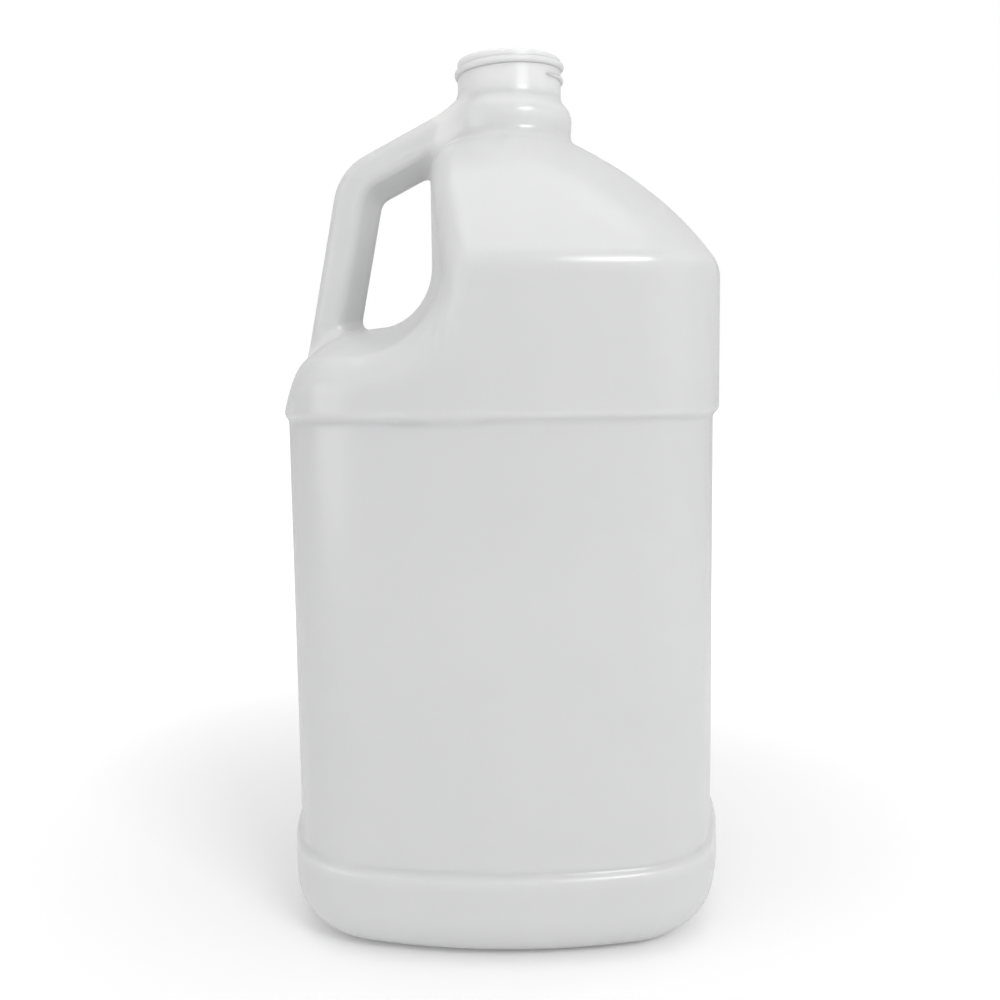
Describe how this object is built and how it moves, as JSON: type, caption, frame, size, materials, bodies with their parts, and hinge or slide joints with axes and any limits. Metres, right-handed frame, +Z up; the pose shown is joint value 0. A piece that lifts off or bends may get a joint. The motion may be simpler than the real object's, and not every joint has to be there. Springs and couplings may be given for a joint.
{
  "type": "handle jug",
  "caption": "Square blow-moulded plastic jug with a hollow slanted handle, a set-back label panel and an open round neck.",
  "frame": {"origin": "middle of the foot, on the plane that the jug stands on", "axes": "+Z up the body, -X towards the handle, the mould's parting plane at Y = 0"},
  "size_m": [0.1478, 0.1478, 0.2862],
  "materials": {
    "shell": "soft satin, natural polyethylene"
  },
  "bodies": {
    "root": {"jug": "shell"}
  },
  "joints": []
}
